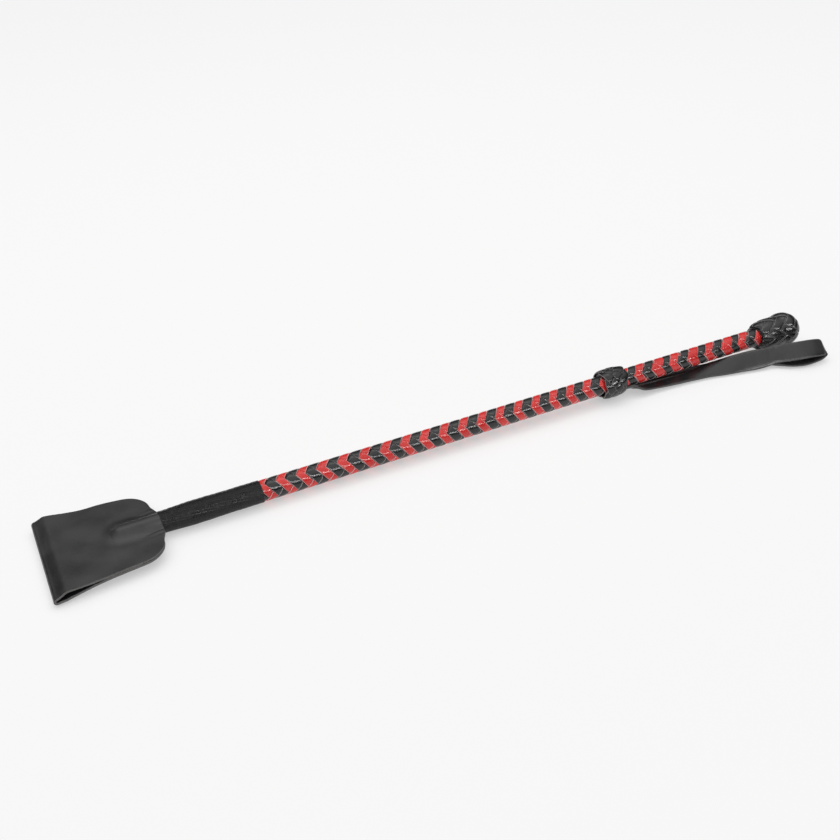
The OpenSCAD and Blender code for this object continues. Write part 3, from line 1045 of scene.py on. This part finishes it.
def make_strap():
    """The strap, out along the near side, round at the pommel and back under the handle."""
    stations = np.array(STRAP, float)
    lean = np.radians(stations[:, 3])
    centres = np.stack(
        [
            level_row(stations[:, 0]),
            stations[:, 1] + np.cos(lean) * stations[:, 4] / 2,
            stations[:, 2] + np.sin(lean) * stations[:, 4] / 2,
        ],
        -1,
    )
    middle = smoothed(centres)
    tilt = np.radians(smoothed(stations[:, 3]))
    width = smoothed(stations[:, 4])
    run = unit(np.gradient(middle, axis=0))
    across = np.stack([0 * tilt, np.cos(tilt), np.sin(tilt)], -1)
    across = unit(across - np.sum(across * run, -1, keepdims=True) * run)
    out = np.cross(run, across)
    x = middle[:, 0] - level_row(0)
    across[:, 0] += LOOP_LEAN * np.exp(-(((x - LOOP_END) / 3.5) ** 2))
    length = np.concatenate([[0], np.cumsum(np.linalg.norm(np.diff(middle, axis=0), axis=1))])
    s = LACE_SECTION[:, 0]
    wide = ease(8.0, 12.0, width)
    cup = -CUP * wide[:, None] * (s**2 - 0.4)
    fine = ripple(length[:, None] / 9.0, s[None, :] * 1.6, 7.7)
    creases = sum(
        depth * np.exp(-(((x[:, None] - place - slant * s) / half) ** 2)) * ease(-0.7, 1.0, s)
        for place, slant, depth, half in CREASES
    )
    lift = cup + STRAP_WAVE * fine - creases
    through = LACE_SECTION[:, 1] * STRAP_T / 2
    points = (
        middle[:, None, :]
        + across[:, None, :] * (s * width[:, None] / 2)[..., None]
        + out[:, None, :] * (through + lift)[..., None]
    )
    strap = lace_piece("wrist_strap", points * MM, length, width, STRAP_LEATHER)
    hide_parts("wrist_strap", "strap_tabs")
    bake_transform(strap)


# ---- finishes of the parts that stay as they are ----


def finish_nodes():
    """Finishes for the hidden parts, which keep the model's own shapes."""
    rod = make_rod_finish()
    wood = make_wood_finish()
    nail = make_nail_finish()
    finishes = {
        "core_rod": rod, "pommel_core": wood, "pommel_nail": nail,
        "tip_lace_binding": BINDING, "butt_lace_binding": BINDING, "strap_binding": BINDING,
        "ring_filler": KNOT_LEATHER, "pommel_collar": KNOT_LEATHER,
    }
    for node, finish in finishes.items():
        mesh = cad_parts[node].data
        mesh.materials.clear()
        mesh.materials.append(finish)


# ---- floor, light and camera ----

FLOOR_HALF = 4.0                  # metres
FLOOR_TONE = 0.56
FLOOR_GLOW = 0.45
FLOOR_GAP = 0.0002                # metres below the model's lowest point
HORIZON = 0.07
ZENITH = 1.25
WALL = 0.93
CAMERA_PLACE = (-0.2592, -0.4260, 0.3478)
CAMERA_TURN = (55.847, 0.112, -27.137)
LENS = 42.76
SENSOR = 36.0


def make_floor():
    """Pale paper that also glows a little, as a light table does, so shadows stay faint."""
    mesh = bpy.data.meshes.new("floor")
    signs = ((-1, -1), (1, -1), (1, 1), (-1, 1))
    corners = [(x * FLOOR_HALF, y * FLOOR_HALF, 0) for x, y in signs]
    mesh.from_pydata(corners, [], [(0, 1, 2, 3)])
    material, _, shader = start_finish(
        "floor_paper", Roughness=0.9, Specular_IOR_Level=0.0, Emission_Strength=FLOOR_GLOW
    )
    shader.inputs["Base Color"].default_value = colour(*[FLOOR_TONE] * 3)
    shader.inputs["Emission Color"].default_value = colour(1.0, 1.0, 1.0)
    mesh.materials.append(material)
    floor = bpy.data.objects.new("floor", mesh)
    floor.location.z = cad_low.z - FLOOR_GAP
    bpy.context.scene.collection.objects.link(floor)


def soft_light(name, place, aim, size, power, only_shine=False):
    """A rectangular light; with only_shine it is seen in gloss but lights no matt surface."""
    lamp = bpy.data.lights.new(name, "AREA")
    lamp.shape = "RECTANGLE"
    lamp.size, lamp.size_y = size
    lamp.energy = power
    light = bpy.data.objects.new(name, lamp)
    light.location = place
    light.rotation_euler = (Vector(aim) - Vector(place)).to_track_quat("-Z", "Y").to_euler()
    light.visible_diffuse = not only_shine
    bpy.context.scene.collection.objects.link(light)


def make_world():
    """Bright overhead and dim near the horizon, like a room with a lit ceiling.

    The leather mirrors the dim band; behind the floor a plain pale wall is seen instead.
    """
    world = bpy.data.worlds.new("studio")
    world.use_nodes = True
    tree = world.node_tree
    direction = add_node(tree, "TexCoord").outputs["Generated"]
    height = add_node(tree, "SeparateXYZ", {"Vector": direction}).outputs["Z"]
    overhead = ramp(tree, height, 0.35, 0.9)
    tone = mixed_colour(tree, overhead, colour(*[HORIZON] * 3), colour(*[ZENITH] * 3))
    seen = add_node(tree, "LightPath").outputs["Is Camera Ray"]
    backed = mixed_colour(tree, seen, tone, colour(*[WALL] * 3))
    tree.links.new(backed, tree.nodes["Background"].inputs["Color"])
    bpy.context.scene.world = world


def make_lights():
    """A soft light above and a narrow strip in front that draws the long highlights."""
    make_world()
    soft_light("top_light", (0.0, 0.35, 1.3), (0, 0, 0), (1.6, 0.5), 2.5)
    soft_light("front_strip", (0.0, -0.95, 0.52), (0, 0, 0), (1.8, 0.09), 11.0, only_shine=True)


def make_camera():
    """A camera in front of the flap's end, looking down across the crop."""
    lens = bpy.data.cameras.new("camera")
    lens.sensor_width = SENSOR
    lens.lens = LENS
    camera = bpy.data.objects.new("camera", lens)
    camera.location = CAMERA_PLACE
    camera.rotation_euler = [math.radians(a) for a in CAMERA_TURN]
    bpy.context.scene.collection.objects.link(camera)
    bpy.context.scene.camera = camera


make_camera()
make_lights()
make_floor()
make_braid()
make_whipping()
make_whipping_bed()
make_flap()
make_ring_knot()
make_pommel()
make_pommel_lining()
make_strap()
finish_nodes()
bpy.context.scene.view_settings.view_transform = "Standard"
